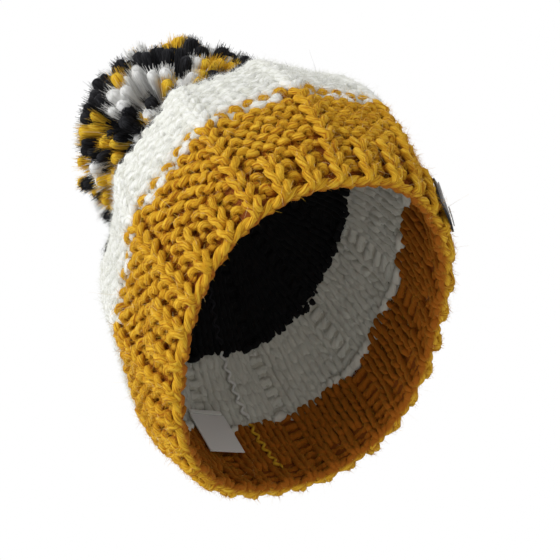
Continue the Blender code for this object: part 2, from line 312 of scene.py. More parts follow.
def new_mesh(name, points, faces, attributes, materials, face_slots=None):
    """A smooth mesh object from arrays of points and quads. attributes is {name: per-point values}."""
    mesh = bpy.data.meshes.new(name)
    points = np.asarray(points, np.float32).reshape(-1, 3)
    corners = faces.shape[1]
    mesh.vertices.add(len(points))
    mesh.vertices.foreach_set("co", points.ravel())
    mesh.loops.add(faces.size)
    mesh.loops.foreach_set("vertex_index", faces.astype(np.int32).ravel())
    mesh.polygons.add(len(faces))
    mesh.polygons.foreach_set("loop_start", np.arange(len(faces), dtype=np.int32) * corners)
    mesh.polygons.foreach_set("loop_total", np.full(len(faces), corners, np.int32))
    if face_slots is not None:
        mesh.polygons.foreach_set("material_index", face_slots.astype(np.int32))
    mesh.polygons.foreach_set("use_smooth", np.full(len(faces), True))
    for key, values in attributes.items():
        kind = "FLOAT" if values.ndim == 1 else "FLOAT_VECTOR"
        field = "value" if values.ndim == 1 else "vector"
        attribute = mesh.attributes.new(key, kind, "POINT")
        attribute.data.foreach_set(field, values.astype(np.float32).ravel())
    for material in materials:
        mesh.materials.append(material)
    mesh.update(calc_edges=True)
    piece = bpy.data.objects.new(name, mesh)
    bpy.context.scene.collection.objects.link(piece)
    return piece


class Parts:
    """Collects grids of points as one mesh.

    The attribute yarn is the place along and round the yarn; lift, how far outside a point lies, sets painted
    shade.
    """

    def __init__(self):
        self.points, self.faces, self.yarn, self.lift, self.slots = [], [], [], [], []
        self.count = 0

    def add(self, points, faces, yarn, lift, slot=0):
        self.points.append(points)
        self.faces.append(faces + self.count)
        self.yarn.append(yarn)
        self.lift.append(lift)
        self.slots.append(np.full(len(faces), slot))
        self.count += len(points)

    def build(self, name, materials):
        attributes = {"yarn": np.concatenate(self.yarn), "lift": np.concatenate(self.lift)}
        points = np.concatenate(self.points)
        faces = np.concatenate(self.faces)
        return new_mesh(name, points, faces, attributes, materials, np.concatenate(self.slots))


def grid_faces(rows, columns, wrap_rows, wrap_columns):
    """Quads of a grid of points, numbered row by row."""
    first_rows = np.arange(rows if wrap_rows else rows - 1)
    first_columns = np.arange(columns if wrap_columns else columns - 1)
    row, column = (grid.ravel() for grid in np.meshgrid(first_rows, first_columns, indexing="ij"))
    next_row, next_column = (row + 1) % rows, (column + 1) % columns
    corners = ((row, column), (row, next_column), (next_row, next_column), (next_row, column))
    return np.stack([r * columns + c for r, c in corners], axis=1)


def repeated_faces(faces, copies, points_each):
    """The same faces for each of some equal grids of points."""
    return (faces[None] + (np.arange(copies) * points_each)[:, None, None]).reshape(-1, 4)


def run_along(line):
    """The length along a line of points up to each of them."""
    return np.concatenate([[0.0], np.cumsum(np.linalg.norm(np.diff(line, axis=0), axis=1))])


def yarn_tube(parts, line, normals, radius, closed, lift=None, phase=0.0):
    """A twisted yarn round a line. normals point outwards. Returns its points, rings and tangents."""
    if closed:
        tangent = unit(np.roll(line, -1, axis=0) - np.roll(line, 1, axis=0))
    else:
        tangent = unit(np.gradient(line, axis=0))
    side = unit(np.cross(tangent, normals))
    top = np.cross(side, tangent)
    run = run_along(line) + phase
    angle = 2 * np.pi * np.arange(YARN_SIDES) / YARN_SIDES
    spin = angle[None, :] + 2 * np.pi * run[:, None] / TWIST_LENGTH
    lobes = 1 + 0.09 * np.cos(3 * spin) + 0.04 * np.cos(5 * spin + 1.3 + 40 * run[:, None])
    swell = 1 + 0.06 * np.sin(run * 410 + phase * 50) + 0.05 * np.sin(run * 173 + 2.0)
    reach = (np.broadcast_to(radius, run.shape) * swell)[:, None] * lobes
    ring = top[:, None, :] * np.cos(angle)[None, :, None] + side[:, None, :] * np.sin(angle)[None, :, None]
    points = line[:, None, :] + ring * reach[:, :, None]
    yarn = np.stack([np.broadcast_to(run[:, None], spin.shape), np.cos(spin), np.sin(spin)], axis=-1)
    if lift is None:
        lift = np.zeros(len(line))
    # lift: the materials paint shade where it is low, on the yarn's inner side and deep in the fabric
    height = lift[:, None] + (ring * normals[:, None, :]).sum(axis=-1)
    faces = grid_faces(len(line), YARN_SIDES, closed, True)[:, ::-1]
    parts.add(points.reshape(-1, 3), faces, yarn.reshape(-1, 3), height.ravel())
    return points, ring, tangent


def ease(values, low, high):
    """A smooth step from 0 to 1 between two values."""
    share = np.clip((values - low) / (high - low), 0, 1)
    return share * share * (3 - 2 * share)


def stitch_sign(place, signs):
    """1 where the loop at this place of the course is knit, -1 where it is purl, turning over at the feet."""
    low = np.floor(place).astype(int)
    share = np.clip((place - low - 0.5) / 0.26 + 0.5, 0, 1)
    count = len(signs)
    return signs[low % count] * (1 - share) + signs[(low + 1) % count] * share


def stitches_per_rib(rise):
    return STITCHES_PER_RIB - sum(rise > limit for limit in DECREASE_RISES)


def knit_stitches(per_rib, in_rim):
    """True for each stitch of a course that is knit, False where it is purl."""
    columns = np.arange(per_rib * RIB_COUNT)
    if in_rim and per_rib % 2 == 0:
        return columns % 2 == 0
    return columns % per_rib == 0


def loop_shape(t, knitness, in_rim):
    """How far the yarn swings along the course, in stitches, and up the hat, in courses."""
    knit_width = RIM_KNIT_WIDTH if in_rim else KNIT_WIDTH
    width = PURL_WIDTH + (knit_width - PURL_WIDTH) * knitness
    reach = PURL_HEIGHT + (KNIT_HEIGHT - PURL_HEIGHT) * knitness
    roundness = FLAT_LOOP + (1 - FLAT_LOOP) * knitness
    arc = np.sign(np.cos(t)) * np.abs(np.cos(t)) ** roundness
    return width * np.sin(2 * t), reach * arc


def loop_bulge(t, knitness, loop_depth):
    """How far the yarn stands out, at a knit loop's legs or a purl loop's head and feet."""
    legs = np.sin(t) ** 2
    purl = 1 - 2.4 * ease(legs, 0.04, 0.85)
    knit = 2.6 * ease(legs, 0.20, 0.65) - 1.6
    return loop_depth * (purl * (1 - knitness) + knit * knitness)


def course(parts, row, length, rng, style):
    """One round of knitting whose loops are centred this far up the hat. Returns its yarn for the fuzz."""
    per_rib = stitches_per_rib(rise_at_length(length))
    count = per_rib * RIB_COUNT
    in_rim = row < RIM_ROWS
    place = np.arange(count * style.samples) / style.samples
    t = 2 * np.pi * place
    nearest = np.round(place).astype(int) % count
    tall = (1 + style.uneven * rng.standard_normal(count))[nearest]
    wide = (1 + WIDTH_UNEVENNESS * rng.standard_normal(count))[nearest]
    nudge = smooth_noise(rng, count, len(place)) * NUDGE
    drift = smooth_noise(rng, count, len(place)) * DRIFT
    sign = stitch_sign(place, np.where(knit_stitches(per_rib, in_rim), 1.0, -1.0))
    knitness = np.clip(0.9 * (sign + 1), 0, 1)
    swing, climb = loop_shape(t, knitness, in_rim)
    turn = FIRST_RIB_TURN + 2 * np.pi * (place + swing * wide + drift) / count
    height = ROW_HEIGHT * (climb * tall + LOOP_SLANT * np.sin(2 * t))
    rise = rise_at_length(np.clip(length + height, style.radius, LENGTHS[-1]))
    point, _, _, out = surface_frame(turn, rise)
    proud = -RIB_PROUD * (1 - rib_wave(turn))
    if in_rim:
        proud = -RIB_PROUD * RIM_SINK + RIM_RELIEF * sign
    sunk = (rng.random(count) < style.sunk_feet)[np.floor(place).astype(int) % count]
    bulge = loop_bulge(t, knitness, style.loop_depth) - SINK_DEPTH * sunk * ease(-np.cos(t), 0.2, 0.9)
    depth = proud + bulge + nudge + KNIT_LIFT * knitness - style.radius - style.loop_depth
    line = point + out * depth[:, None]
    line[:, 2] = np.maximum(line[:, 2], style.radius)
    thick = style.radius * (1 + (KNIT_SWELL - 1) * knitness)
    rings = yarn_tube(parts, line, out, thick, True, bulge / style.loop_depth, phase=row * 0.37)
    return rings + (out,)


def edge_yarns(parts, rng):
    """The cast-on edge: two yarns twisted round each other behind the first loops."""
    count = STITCHES_PER_RIB * RIB_COUNT // 2
    samples = count * EDGE_SAMPLES
    turn = FIRST_RIB_TURN + 2 * np.pi * np.arange(samples) / samples
    point, _, _, out = surface_frame(turn, np.full(samples, rise_at_length(EDGE_HEIGHT)))
    wander = smooth_noise(rng, count, samples)
    for strand in range(2):
        angle = count * turn + math.pi * strand + wander * EDGE_WANDER
        line = point + out * (EDGE_TWIST_RADIUS * np.cos(angle) - EDGE_DEPTH)[:, None]
        line[:, 2] += EDGE_TWIST_RADIUS * np.sin(angle) + wander * NUDGE
        yarn_tube(parts, line, out, EDGE_YARN_RADIUS, True, np.cos(angle), phase=strand * 0.61)


def smooth_noise(rng, knots, samples):
    """Random values that change slowly round a course."""
    values = rng.standard_normal(knots)
    place = np.arange(samples) * knots / samples
    return np.interp(place, np.arange(knots + 1), np.append(values, values[0]))


def core_sheet(parts, low, high, slot):
    """Matted fibres behind the loops, which close the gaps between them with painted shade."""
    turns = np.linspace(0, 2 * np.pi, CORE_COLUMNS, endpoint=False)
    lengths = np.linspace(low, high, max(3, int((high - low) / CORE_ROW_HEIGHT)))
    turn, length = (grid.ravel() for grid in np.meshgrid(turns, lengths, indexing="xy"))
    point, _, _, out = surface_frame(turn, rise_at_length(length))
    depth = RIB_PROUD * (1 - rib_wave(turn)) * CORE_RIB_SHARE + CORE_DEPTH
    faces = grid_faces(len(lengths), len(turns), False, True)
    yarn = np.zeros((turn.size, 3))
    parts.add(point - out * depth[:, None], faces, yarn, np.full(turn.size, CORE_SHADE), slot)


def hairs(parts, roots, directions, lengths, width, segments, rng, curl, slot=0):
    """Thin curved hairs as flat ribbons."""
    count = len(roots)
    s = np.linspace(0, 1, segments + 1)
    bend = rng.standard_normal((count, 3)) * curl
    middle = (
        roots[:, None, :]
        + directions[:, None, :] * (lengths[:, None] * s)[:, :, None]
        + bend[:, None, :] * (lengths[:, None] * s**2)[:, :, None]
    )
    side = unit(np.cross(directions, rng.standard_normal((count, 3))))
    half = width / 2 * (1 - 0.75 * s)
    edge = side[:, None, :] * half[None, :, None]
    points = np.stack([middle - edge, middle + edge], axis=2)
    each = (segments + 1) * 2
    faces = repeated_faces(grid_faces(segments + 1, 2, False, False), count, each)
    yarn = np.zeros((count * each, 3))
    yarn[:, 0] = np.repeat(rng.random(count), each)
    parts.add(points.reshape(-1, 3), faces, yarn, np.ones(count * each), slot)


def knit_hairs(name, materials, yarns, fuzz, strays, rng):
    """Short fuzz along the yarn and a few long stray hairs, grown from the outer half of the loops."""
    parts = Parts()
    points, ring, tangent, out = (np.concatenate(arrays) for arrays in zip(*yarns))
    points, ring = points.reshape(-1, 3), ring.reshape(-1, 3)
    tangent, out = (np.repeat(vectors, YARN_SIDES, axis=0) for vectors in (tangent, out))
    facing = (ring * out).sum(axis=1)
    clear = points[:, 2] > HAIR_LIMIT

    pick = rng.choice(np.flatnonzero((facing > 0.15) & clear), fuzz)
    way = np.where(rng.random(fuzz) < 0.5, -1.0, 1.0)[:, None]
    stray = rng.standard_normal((fuzz, 3)) * 0.28
    direction = unit(ring[pick] * 0.30 + tangent[pick] * way * 0.95 + stray)
    lengths = rng.uniform(*FUZZ_LENGTHS, fuzz)
    hairs(parts, points[pick], direction, lengths, FUZZ_WIDTH, 1, rng, 0.25)

    pick = rng.choice(np.flatnonzero((facing > 0.4) & clear), strays)
    flat = rng.standard_normal((strays, 3))
    flat -= out[pick] * (flat * out[pick]).sum(axis=1, keepdims=True)
    direction = unit(unit(flat) + out[pick] * rng.uniform(0.05, 0.4, (strays, 1)))
    lengths = rng.uniform(*STRAY_LENGTHS, strays)
    hairs(parts, points[pick], direction, lengths, STRAY_WIDTH, STRAY_SEGMENTS, rng, 0.7, slot=1)
    return parts.build(name, materials)


def principled(name, roughness=0.9, sheen=0.0, sheen_tint=(1, 1, 1)):
    material = bpy.data.materials.new(name)
    material.use_nodes = True
    shader = material.node_tree.nodes["Principled BSDF"]
    shader.inputs["Roughness"].default_value = roughness
    shader.inputs["Specular IOR Level"].default_value = 0.25
    shader.inputs["Sheen Weight"].default_value = sheen
    shader.inputs["Sheen Roughness"].default_value = 0.45
    shader.inputs["Sheen Tint"].default_value = (*sheen_tint, 1)
    return material, material.node_tree, shader


def add_node(tree, kind, **values):
    node = tree.nodes.new(kind)
    for key, value in values.items():
        setattr(node, key, value)
    return node


def streaks(tree, name, along, round_scale, detail):
    """Noise drawn out along the yarn's fibres."""
    source = add_node(tree, "ShaderNodeAttribute", attribute_name=name)
    scale = add_node(tree, "ShaderNodeVectorMath", operation="MULTIPLY")
    scale.inputs[1].default_value = (along, round_scale, round_scale)
    noise = add_node(tree, "ShaderNodeTexNoise", noise_dimensions="3D")
    noise.inputs["Scale"].default_value = 1.0
    noise.inputs["Detail"].default_value = detail
    noise.inputs["Roughness"].default_value = 0.62
    tree.links.new(source.outputs["Vector"], scale.inputs[0])
    tree.links.new(scale.outputs[0], noise.inputs["Vector"])
    return noise.outputs["Fac"]


def mix_colours(tree, factor, low, high):
    mix = add_node(tree, "ShaderNodeMix", data_type="RGBA")
    tree.links.new(factor, mix.inputs["Factor"])
    for socket, value in ((mix.inputs["A"], low), (mix.inputs["B"], high)):
        if isinstance(value, tuple):
            socket.default_value = (*value, 1)
        else:
            tree.links.new(value, socket)
    return mix.outputs["Result"]


def remap(tree, value, low, high):
    """A smooth step from 0 to 1 while the value goes from low to high."""
    node = add_node(tree, "ShaderNodeMapRange", clamp=True, interpolation_type="SMOOTHSTEP")
    node.inputs["From Min"].default_value = low
    node.inputs["From Max"].default_value = high
    tree.links.new(value, node.inputs["Value"])
    return node.outputs["Result"]


def yarn_material(name, tones):
    """Twisted wool: fibre streaks, slow changes of tone, painted shade between the loops and a soft sheen."""
    dark_and_shade, middle, bright = tones
    material, tree, shader = principled(name, 0.88, 0.3, bright)
    fine = streaks(tree, "yarn", 110.0, 2.4, 5.0)
    broad = streaks(tree, "yarn", 45.0, 0.9, 2.0)
    fibre = mix_colours(tree, remap(tree, fine, 0.46, 0.62), middle, bright)
    streaked_tone = mix_colours(tree, remap(tree, fine, 0.34, 0.50), dark_and_shade, fibre)
    streaked_tone = mix_colours(tree, remap(tree, broad, 0.4, 1.2), streaked_tone, middle)
    # Painted shade: the dark tone wherever lift is low, between the loops and on the yarn's inner side
    lift = add_node(tree, "ShaderNodeAttribute", attribute_name="lift")
    final = mix_colours(tree, remap(tree, lift.outputs["Fac"], -0.9, 1.0), dark_and_shade, streaked_tone)
    tree.links.new(final, shader.inputs["Base Color"])
    add_bump(tree, shader, fine, 0.9, 0.0009)
    return material


def add_bump(tree, shader, height, strength, distance):
    node = add_node(tree, "ShaderNodeBump")
    node.inputs["Strength"].default_value = strength
    node.inputs["Distance"].default_value = distance
    tree.links.new(height, node.inputs["Height"])
    tree.links.new(node.outputs["Normal"], shader.inputs["Normal"])


def fibre_material(name, tones, palest):
    """Single fibres of a yarn, each with its own tone, with painted shade towards the inside of the piece."""
    dark_and_shade, middle, bright = tones
    material, tree, shader = principled(name, 0.85, 0.2, bright)
    source = add_node(tree, "ShaderNodeAttribute", attribute_name="yarn")
    split = add_node(tree, "ShaderNodeSeparateXYZ")
    tree.links.new(source.outputs["Vector"], split.inputs[0])
    tone = mix_colours(tree, remap(tree, split.outputs["X"], 0.0, 0.35), dark_and_shade, middle)
    tone = mix_colours(tree, remap(tree, split.outputs["X"], 0.25, 0.8), tone, bright)
    tone = mix_colours(tree, remap(tree, split.outputs["X"], 0.88, 1.0), tone, palest)
    # Painted shade: the dark tone where lift is low, towards the inside of the piece
    lift = add_node(tree, "ShaderNodeAttribute", attribute_name="lift")
    final = mix_colours(tree, remap(tree, lift.outputs["Fac"], -1.6, 0.6), dark_and_shade, tone)
    tree.links.new(final, shader.inputs["Base Color"])
    return material


def flat_material(name, colour, roughness=0.8, sheen=0.0):
    material, _, shader = principled(name, roughness, sheen, colour)
    shader.inputs["Base Color"].default_value = (*colour, 1)
    return material


def band_at(row, rise):
    """The band that a course belongs to."""
    if row < RIM_ROWS:
        return "brim"
    if rise < MUSTARD_TOP:
        return "mustard"
    return "cream" if rise < CREAM_TOP else "black"


def course_style(band, band_below):
    """How a course is knitted. The first one of a new colour is uneven, and some of its feet are sunk."""
    cream = band == "cream"
    new_colour = band not in (band_below, "mustard")
    return Style(
        radius=CREAM_YARN_RADIUS if cream else YARN_RADIUS,
        loop_depth=CREAM_LOOP_DEPTH if cream else LOOP_DEPTH,
        uneven=BORDER_UNEVENNESS if new_colour else UNEVENNESS,
        sunk_feet=BORDER_SUNK_FEET if new_colour else 0.0,
        samples=BLACK_SAMPLES if band == "black" else SAMPLES_PER_STITCH,
    )


def knit_bands():
    """The courses of each band. Returns {band: (its parts, its courses' yarn, its courses' lengths)}."""
    rng = np.random.default_rng(11)
    first = ROW_HEIGHT * PURL_HEIGHT + YARN_RADIUS
    last = LENGTHS[-1] - LAST_COURSE_GAP
    bands = {band: (Parts(), [], []) for band in BANDS}
    band_below = "brim"
    for row in range(int((last - first) / ROW_HEIGHT) + 1):
        length = first + row * ROW_HEIGHT
        band = band_at(row, rise_at_length(length))
        parts, yarns, lengths = bands[band]
        yarns.append(course(parts, row, length, rng, course_style(band, band_below)))
        lengths.append(length)
        band_below = band
    return bands


def knit_pieces():
    """The knitted bands and their fuzz, in place of the CAD shells. Returns {colour: yarn material}."""
    rng = np.random.default_rng(5)
    materials = {}
    for colour, tones in YARN_COLOURS.items():
        pale = HAIR_COLOURS[colour]
        knit = [yarn_material(colour + "_yarn", tones), flat_material(colour + "_core", SHADED_CORE_COLOURS[colour])]
        hair = [fibre_material(colour + "_fibre", tones, pale), flat_material(colour + "_stray", pale)]
        materials[colour] = (knit, hair)
    share = 1.0
    for band, (parts, yarns, lengths) in knit_bands().items():
        colour, node = BANDS[band]
        knit, hair = materials[colour]
        low = lengths[0] - ROW_HEIGHT / 2
        high = lengths[-1] + ROW_HEIGHT / 2
        if band == "brim":
            low = 2 * EDGE_YARN_RADIUS
            edge_yarns(parts, rng)
        if band == "black":
            high = LENGTHS[-1] - CROWN_HOLE
        core_sheet(parts, low, high, 1)
        piece = parts.build(band + "_knit", knit)
        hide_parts(node)
        stitches = sum(len(yarn[2]) for yarn in yarns) // course_style(band, band).samples
        fuzz = int(stitches * FUZZ_PER_STITCH[colour] * share)
        fur = knit_hairs(band + "_fuzz", hair, yarns, fuzz, int(stitches * STRAYS_PER_STITCH), rng)
        for item in (piece, fur):
            attach(item, band)
    return {colour: knit[0] for colour, (knit, hair) in materials.items()}


def attach(piece, band):
    """Rides a piece of a band on its body. A cream band piece rides on no body: its placement is baked into
    its mesh.
    """
    if band == "cream":
        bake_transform(piece)
    else:
        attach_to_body(piece, "crown" if band == "black" else "hat")


def pompom_centre():
    low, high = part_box("pom_binding")
    return np.array((low + high) / 2)


def pompom_size(centre):
    """Half sizes of the CAD pompom, as an oblate ball."""
    boxes = [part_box(name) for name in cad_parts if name.startswith("pom_tuft_")]
    wide = max(high.x for _, high in boxes)
    tall = max(high.z for _, high in boxes) - centre[2]
    return np.array((wide, wide, tall))


# Colour patches of the pompom as the camera sees it: turn and height angle in degrees, colour
PATCHES = (
    (-61, -9, "black"), (-67, -4, "black"), (-75, 0, "black"), (-78, -8, "cream"), (-80, -16, "mustard"),
    (-82, -22, "black"), (-84, -3, "black"), (-90, -8, "cream"), (-91, -20, "mustard"), (-94, 2, "black"),
    (-98, -28, "mustard"), (-101, -6, "black"), (-102, -22, "cream"), (-105, -15, "black"),
    (-107, -7, "mustard"), (-110, 3, "black"), (-110, -25, "black"), (-112, -12, "cream"),
    (-115, -19, "mustard"), (-119, -6, "cream"), (-121, 5, "black"), (-123, -17, "mustard"),
    (-125, -24, "black"), (-126, -30, "cream"), (-128, 1, "mustard"), (-129, -8, "cream"),
    (-131, -33, "mustard"), (-133, 5, "black"), (-136, -4, "cream"), (-137, -14, "cream"),
    (-138, -34, "cream"), (-140, -23, "black"), (-143, 3, "black"), (-147, -10, "cream"),
    (-150, -20, "black"), (-152, -32, "black"), (-153, 2, "black"), (-157, -8, "mustard"),
    (-158, -18, "mustard"), (-161, -13, "black"), (-163, -2, "mustard"), (-163, -26, "mustard"),
    (-167, 4, "black"), (-169, -10, "black"), (-172, -20, "black"), (-175, 0, "mustard"),
    (-177, -12, "mustard"), (180, -18, "cream"), (176, -27, "mustard"), (174, -5, "mustard"),
    (170, -14, "black"), (160, -13, "mustard"), (155, -8, "black"), (150, -22, "black"), (142, -5, "cream"),
    (132, -14, "mustard"), (122, 2, "black"), (112, -12, "cream"), (100, -2, "black"), (90, -15, "mustard"),
    (78, 0, "cream"), (66, -12, "black"), (55, 3, "mustard"), (42, -10, "cream"), (30, 0, "black"),
    (18, -14, "mustard"), (6, 2, "cream"), (-8, -10, "black"), (-20, 3, "mustard"), (-34, -12, "cream"),
    (-46, 0, "black"), (-52, -18, "mustard"), (-55, 18, "cream"), (-85, 20, "mustard"), (-115, 22, "cream"),
    (-145, 20, "black"), (-172, 20, "cream"), (158, 22, "mustard"), (128, 20, "black"), (98, 24, "cream"),
    (68, 22, "mustard"), (38, 20, "black"), (8, 24, "cream"), (-24, 24, "black"), (-70, 40, "black"),
    (-105, 45, "mustard"), (-140, 42, "cream"), (-178, 44, "black"), (142, 45, "cream"), (105, 42, "black"),
    (70, 46, "cream"), (35, 44, "mustard"), (0, 45, "black"), (-36, 44, "mustard"), (-80, 66, "cream"),
    (-150, 68, "mustard"), (140, 66, "black"), (75, 68, "mustard"), (10, 67, "cream"), (0, 88, "black"),
)


def spread_directions(count, lowest):
    """Evenly spread unit vectors above a height angle's sine."""
    k = np.arange(count) + 0.5
    z = 1 - (1 - lowest) * k / count
    angle = np.pi * (1 + math.sqrt(5)) * k
    level = np.sqrt(1 - z * z)
    return np.stack([np.cos(angle) * level, np.sin(angle) * level, z], axis=1)


def seen_places(points, size):
    """Where the camera sees these points of the pompom on its whole ball, as points of a unit ball."""
    eye = np.array(camera_place()) - pompom_centre()
    ball = points / size
    sight = unit(points / size - eye / size)
    along = (ball * sight).sum(axis=1)
    gap = np.maximum(along**2 - (ball**2).sum(axis=1) + 1, 0)
    front = ball - sight * (along + np.sqrt(gap))[:, None]
    return np.where((along < 0)[:, None], front, ball)


def patch_colours(points, size):
    """Each strand takes the colour of the patch nearest to where its outer end is seen."""
    turn, height, names = (np.array(column) for column in zip(*PATCHES))
    turn, height = np.radians(turn), np.radians(height)
    spots = np.stack([np.cos(turn) * np.cos(height), np.sin(turn) * np.cos(height), np.sin(height)], axis=1)
    places = unit(seen_places(points, size) * size)
    return names[(places @ spots.T).argmax(axis=1)]


def strand_lines(centre, direction, reach, radius, rng):
    """Each strand's line of points. Strands that point at the crown bend away and lie above it."""
    s = np.array(STRAND_PLACES)
    u = unit(np.cross(direction, unit(rng.standard_normal(direction.shape))))
    v = np.cross(direction, u)
    sway = rng.standard_normal((len(direction), 2)) * STRAND_SWAY
    bend = (s**2)[None, :, None] * (u[:, None, :] * sway[:, None, :1] + v[:, None, :] * sway[:, None, 1:])
    travel = STRAND_START + (reach[:, None] - STRAND_START) * s[None, :]
    middle = centre + direction[:, None, :] * travel[:, :, None] + bend
    floor = (RIM.height + CROWN_CLEARANCE + radius)[:, None]
    above = middle[:, :, 2] - floor
    middle[:, :, 2] = floor + (above + np.sqrt(above**2 + STRAND_LANDING**2)) / 2
    return middle, u


def strand_frames(middle, u):
    """Unit vectors along and across each strand's line."""
    along = unit(np.gradient(middle, STRAND_PLACES, axis=1))
    across = unit(u[:, None, :] - along * (along * u[:, None, :]).sum(axis=-1, keepdims=True))
    return along, across, np.cross(along, across)


def strand_shade(s):
    """The lift attribute along a strand, which paints shade on the pompom's inside."""
    return np.interp(s, (0, 1), STRAND_SHADES)


def strand_core(parts, middle, frames, radius, rng):
    """The solid middle of each strand, which swells towards a rounded end."""
    count, rings = middle.shape[:2]
    sides = STRAND_SIDES
    along, across, over = frames
    angle = 2 * np.pi * np.arange(sides) / sides
    s = np.array(STRAND_PLACES)
    swell = np.interp(s, *STRAND_SWELL)
    lumps = 1 + 0.10 * rng.standard_normal((count, 1, sides))
    lumps = lumps + 0.05 * rng.standard_normal((count, rings, sides))
    ring = across[:, :, None, :] * np.cos(angle)[:, None] + over[:, :, None, :] * np.sin(angle)[:, None]
    points = middle[:, :, None, :] + ring * (radius[:, None, None] * swell[None, :, None] * lumps)[..., None]
    faces = repeated_faces(grid_faces(rings, sides, False, True)[:, ::-1], count, rings * sides)
    yarn = np.zeros((count, rings, sides, 3))
    yarn[..., 0] = (s * 0.06)[None, :, None] + rng.random((count, 1, 1)) * 3
    yarn[..., 1] = 2 * np.cos(angle)
    yarn[..., 2] = 2 * np.sin(angle)
    lift = np.broadcast_to(strand_shade(s)[None, :, None], (count, rings, sides))
    parts.add(points.reshape(-1, 3), faces, yarn.reshape(-1, 3), lift.ravel(), 0)


def strand_fibres(parts, middle, frames, radius, rng):
    """Flat fibres that run along each strand's surface and fan out a little past its end."""
    count = len(middle)
    each = FIBRES_PER_STRAND
    total = count * each
    owner = np.repeat(np.arange(count), each)
    angle = rng.uniform(0, 2 * np.pi, total)
    start = rng.uniform(*FIBRE_STARTS, total)
    end = rng.uniform(*FIBRE_ENDS, total)
    t = np.linspace(0, 1, FIBRE_SEGMENTS + 1)
    s = start[:, None] + (end - start)[:, None] * t
    rings = len(STRAND_PLACES)
    place = np.interp(s, STRAND_PLACES, np.arange(rings))
    low = np.minimum(place.astype(int), rings - 2)
    share = (place - low)[..., None]
    along, across, over = (
        f[owner[:, None], low] * (1 - share) + f[owner[:, None], low + 1] * share for f in frames
    )
    line = middle[owner[:, None], low] * (1 - share) + middle[owner[:, None], low + 1] * share
    spread = angle[:, None] + rng.standard_normal(total)[:, None] * 0.35 * t
    ring = across * np.cos(spread)[..., None] + over * np.sin(spread)[..., None]
    depth = rng.uniform(*FIBRE_DEPTHS, total)[:, None]
    fan = 1 + rng.uniform(0.0, 0.5, total)[:, None] * t**3
    level = radius[owner][:, None] * np.interp(s, *FIBRE_FAN) * depth * fan
    over_end = (rng.uniform(0.0, FIBRE_OVERSHOOT, total)[:, None] * t**3)[..., None]
    line = line + ring * level[..., None] + along * over_end
    side = unit(np.cross(along, ring) + along * rng.standard_normal((total, 1, 1)) * 0.1)
    half = rng.uniform(0.5, 1.0, total)[:, None] * FIBRE_WIDTH / 2 * (1 - 0.6 * t**2)
    points = np.stack([line - side * half[..., None], line + side * half[..., None]], axis=2)
    faces = repeated_faces(grid_faces(len(t), 2, False, False), total, len(t) * 2)
    yarn = np.zeros((total, len(t), 2, 3))
    yarn[..., 0] = rng.random(total)[:, None, None]
    lift = np.broadcast_to(strand_shade(s)[:, :, None], (total, len(t), 2))
    parts.add(points.reshape(-1, 3), faces, yarn.reshape(-1, 3), lift.ravel(), 1)


def pompom():
    """The pompom's cut yarn ends as one piece per colour, in place of the CAD tufts."""
    rng = np.random.default_rng(23)
    centre = pompom_centre()
    direction = spread_directions(STRAND_COUNT, LOWEST_STRAND)
    direction = unit(direction + rng.standard_normal(direction.shape) * 0.04)
    size = pompom_size(centre)
    reach = rng.uniform(0.90, 1.02, len(direction)) / np.linalg.norm(direction / size, axis=1)
    radius = STRAND_RADIUS * rng.uniform(0.8, 1.25, len(direction))
    lines, sides = strand_lines(centre, direction, reach, radius, rng)
    colours = patch_colours(lines[:, -3] - centre, size)
    for colour in YARN_COLOURS:
        mine = colours == colour
        middle = lines[mine]
        frames = strand_frames(middle, sides[mine])
        parts = Parts()
        strand_core(parts, middle, frames, radius[mine] * CORE_SHARE, rng)
        strand_fibres(parts, middle, frames, radius[mine], rng)
        tones = POMPOM_COLOURS[colour]
        core = yarn_material("pompom_core_" + colour, tones)
        fibre = fibre_material("pompom_fibre_" + colour, tones, HAIR_COLOURS[colour])
        piece = parts.build("pompom_" + colour, [core, fibre])
        nodes = [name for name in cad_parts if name.startswith("pom_tuft_" + colour)]
        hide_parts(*nodes)
        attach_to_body(piece, "pompom")


def torus_knot(turns, waves, depth, samples=360):
    """A closed line that goes round the z axis while it waves in and out and up and down, in a unit cube."""
    t = np.linspace(0, 2 * np.pi, samples, endpoint=False)
    reach = 1 - depth + depth * np.cos(waves * t)
    return np.stack([np.cos(turns * t) * reach, np.sin(turns * t) * reach, np.sin(waves * t)], axis=1)


def wound_yarn(name, node, line, radius, material, body):
    """A yarn along a closed line that fills a CAD node's box."""
    low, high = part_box(node)
    middle = np.array((low + high) / 2)
    half = np.maximum(np.array((high - low) / 2) - radius, 0)
    points = middle + line * half
    outwards = unit(line * (1, 1, 0.3) + 1e-6)
    parts = Parts()
    yarn_tube(parts, points, outwards, radius, True)
    piece = parts.build(name, [material])
    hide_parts(node)
    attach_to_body(piece, body)


def pompom_cord(material):
    """Two yarns twisted into the cord, whose ends are inside the knots."""
    low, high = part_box("pom_cord")
    middle = np.array((low + high) / 2)
    z = np.linspace(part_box("pom_anchor_knot")[1].z - CORD_TUCK, high.z + CORD_TUCK, 60)
    parts = Parts()
    for strand in range(2):
        angle = 2 * np.pi * (z / CORD_TWIST + strand / 2)
        out = np.stack([np.cos(angle), np.sin(angle), np.zeros_like(z)], axis=1)
        line = out * CORD_YARN_RADIUS * 0.95
        line[:, :2] += middle[:2]
        line[:, 2] = z
        yarn_tube(parts, line, out, CORD_YARN_RADIUS, False)
    piece = parts.build("cord_yarns", [material])
    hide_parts("pom_cord")
    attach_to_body(piece, "cord")


def seam_path(node):
    """The middle of a CAD seam from its lower end up, in steps round the rim's centre."""
    points = node_points(node)
    climb = np.arctan2(points[:, 2], points[:, 1] - RIM.centre)
    owner = np.digitize(climb, np.linspace(climb.min(), climb.max(), SEAM_STEPS + 1)[1:-1])
    return np.array([points[owner == step].mean(axis=0) for step in np.unique(owner)])


